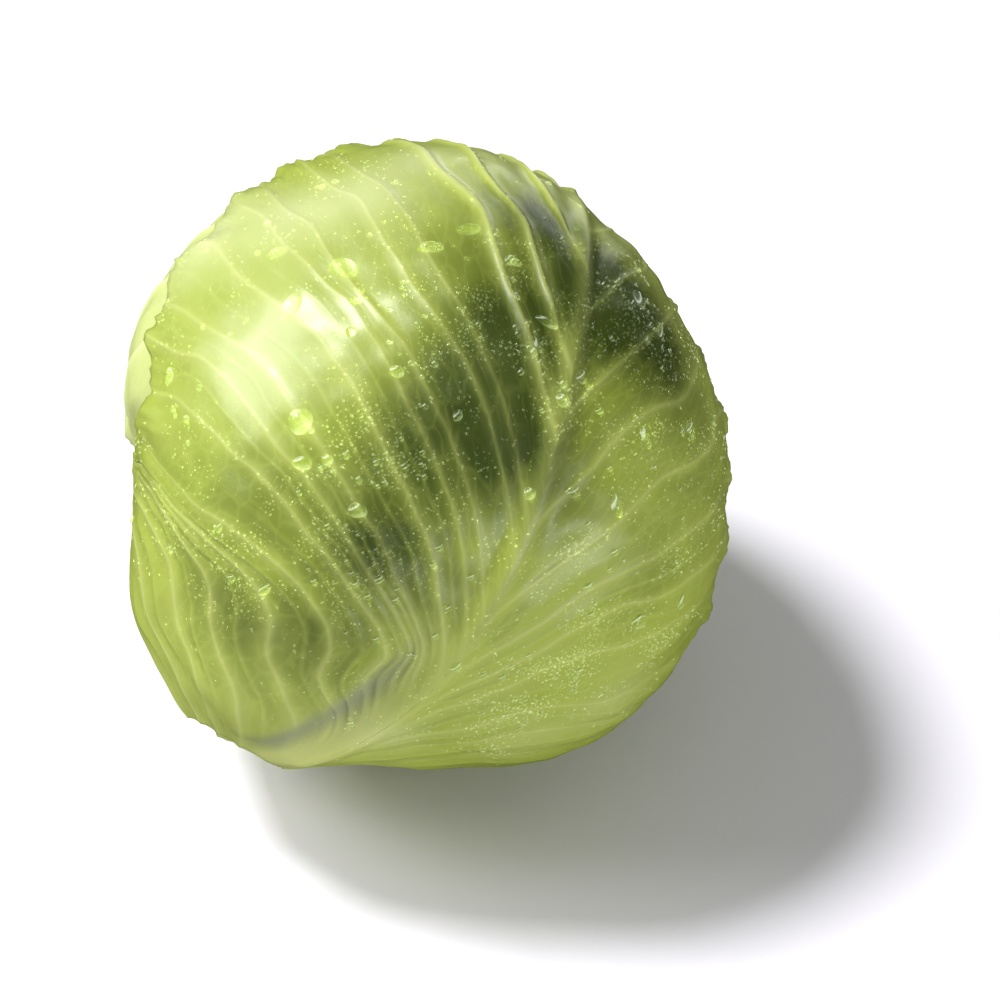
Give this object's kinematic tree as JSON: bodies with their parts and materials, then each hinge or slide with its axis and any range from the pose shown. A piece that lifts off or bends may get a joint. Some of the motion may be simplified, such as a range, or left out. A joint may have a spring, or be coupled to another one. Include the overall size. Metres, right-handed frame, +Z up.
{
  "type": "green cabbage",
  "caption": "Whole head of green cabbage lying on its side, its stem cut: wrapper leaves with raised ribs and ragged margins over a packed inner head.",
  "frame": {"origin": "the middle of the flat spot that the head rests on, straight under the head's middle", "axes": "+Z up; the cut stem points down and towards -X and -Y, and the crown up and towards +X and +Y; the side seen in the picture faces -Y and up"},
  "size_m": [0.183, 0.19, 0.1841],
  "materials": {
    "front_leaf_skin": "satin",
    "under_leaf_skin": "satin",
    "left_leaf_skin": "satin",
    "back_leaf_skin": "satin",
    "inner_leaves": "satin",
    "stalk": "matt"
  },
  "bodies": {
    "root": {"leaf_front": "front_leaf_skin", "leaf_under": "under_leaf_skin", "leaf_left": "left_leaf_skin", "leaf_back": "back_leaf_skin", "inner_head": "inner_leaves", "stem": "stalk"}
  },
  "joints": []
}
